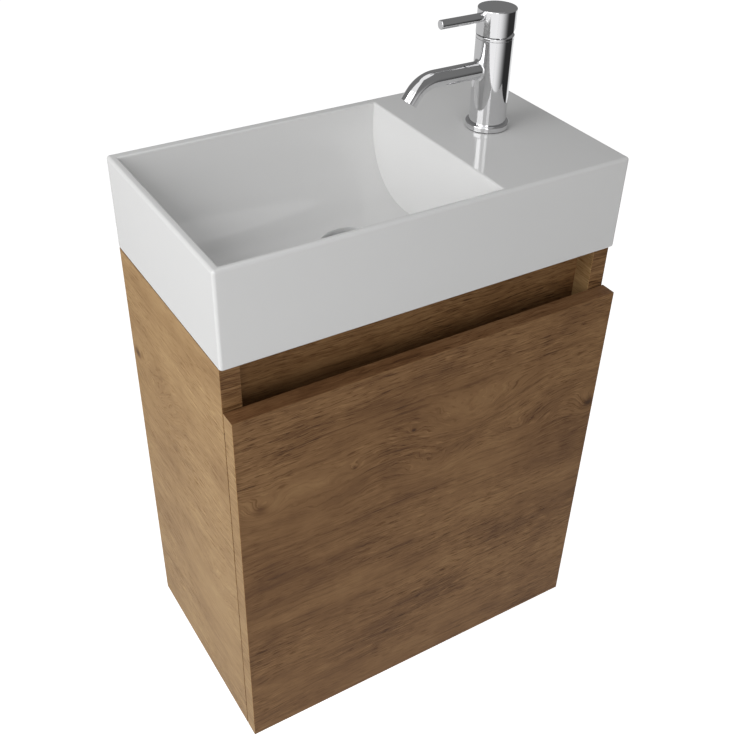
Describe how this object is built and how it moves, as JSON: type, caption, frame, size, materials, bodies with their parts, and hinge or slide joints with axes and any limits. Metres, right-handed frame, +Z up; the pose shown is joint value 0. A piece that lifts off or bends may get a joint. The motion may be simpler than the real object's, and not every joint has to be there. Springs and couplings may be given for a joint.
{
  "type": "wall-hung vanity unit with basin",
  "caption": "Wall-hung cloakroom vanity: a rectangular ceramic basin with pin-lever tap on an oak-look cabinet with a handleless door, waste and bottle trap.",
  "frame": {"origin": "on the wall plane, midway between the two wall-screw holes of the upper back rail", "axes": "+X to the right seen from the front, +Y into the wall, +Z up"},
  "size_m": [0.4, 0.2325, 0.6553],
  "materials": {
    "ceramic": "high gloss white glaze",
    "sealant": "satin white silicone",
    "oak_board": "matt oak decor",
    "zinc": "dull",
    "steel": "nickel plated",
    "beech": "raw",
    "chrome": "polished",
    "brass": "machined",
    "white_plastic": "satin",
    "rubber": "matt",
    "clear_bumper": "soft"
  },
  "bodies": {
    "cabinet": {"basin": "ceramic", "basin_sealant": "sealant", "left_side_panel": "oak_board", "right_side_panel": "oak_board", "bottom_panel": "oak_board", "upper_back_rail": "oak_board", "lower_back_rail": "oak_board", "front_fascia": "oak_board", "shelf": "oak_board", "cam_locks": "zinc", "cam_bolts": "steel", "shelf_pegs": "steel", "waste_grid": "steel", "tap_stud": "steel", "tap_fixing_plate": "steel", "hinge_arms": "steel", "hinge_plates": "steel", "hinge_arm_pins": "steel", "hinge_plate_screws": "steel", "dowels": "beech", "waste_body": "chrome", "tap_body": "chrome", "tap_base_ring": "chrome", "tap_collar": "chrome", "tap_aerator": "chrome", "tap_shank": "brass", "tap_cartridge_nut": "brass", "tap_stud_nut": "brass", "trap_inlet_nut": "white_plastic", "trap_dip_tube": "white_plastic", "trap_neck_nut": "white_plastic", "trap_bottle": "white_plastic", "trap_cup": "white_plastic", "trap_outlet_nut": "white_plastic", "trap_outlet_pipe": "white_plastic", "waste_nut": "white_plastic", "tap_cartridge": "white_plastic", "waste_seal": "rubber", "waste_gasket": "rubber", "trap_inlet_seal": "rubber", "trap_neck_seal": "rubber", "trap_cup_seal": "rubber", "trap_outlet_seal": "rubber", "tap_base_seal": "rubber", "tap_fixing_pad": "rubber"},
    "outer_links": {"hinge_outer_links": "steel"},
    "inner_links": {"hinge_inner_links": "steel"},
    "door": {"door": "oak_board", "door_bumpers": "clear_bumper", "hinge_cups": "steel", "hinge_cup_pins": "steel", "hinge_cup_screws": "steel"},
    "tap_turner": {"tap_carrier": "white_plastic", "tap_stem_pin": "steel"},
    "tap_lever": {"tap_cap": "chrome", "tap_lever": "chrome", "tap_grub_screw": "steel", "tap_index_plug": "white_plastic", "tap_stem": "brass"}
  },
  "joints": [
    {"name": "door_swing", "type": "hinge", "parent": "outer_links", "child": "door", "pos_m": [0.18844, -0.2192, 0], "axis": [0, 0, 1], "range_deg": [0, 120.94]},
    {"name": "outer_link_swing", "type": "hinge", "parent": "cabinet", "child": "outer_links", "pos_m": [0.16254, -0.21061, 0], "axis": [0, 0, 1], "range_deg": [-26.43, 0]},
    {"name": "inner_link_swing", "type": "hinge", "parent": "cabinet", "child": "inner_links", "pos_m": [0.16274, -0.2249, 0], "axis": [0, 0, 1], "range_deg": [-30.9, 0]},
    {"name": "tap_turn", "type": "hinge", "parent": "cabinet", "child": "tap_turner", "pos_m": [0.128, -0.104, 0.206], "axis": [0, 0, 1], "range_deg": [-45, 45]},
    {"name": "tap_lift", "type": "hinge", "parent": "tap_turner", "child": "tap_lever", "pos_m": [0.128, -0.104, 0.211], "axis": [0, 1, 0], "range_deg": [0, 20]}
  ],
  "couplings": [
    {"joint": "outer_link_swing", "follows": "door_swing", "ratio": -0.21445},
    {"joint": "inner_link_swing", "follows": "door_swing", "ratio": -0.25137}
  ]
}
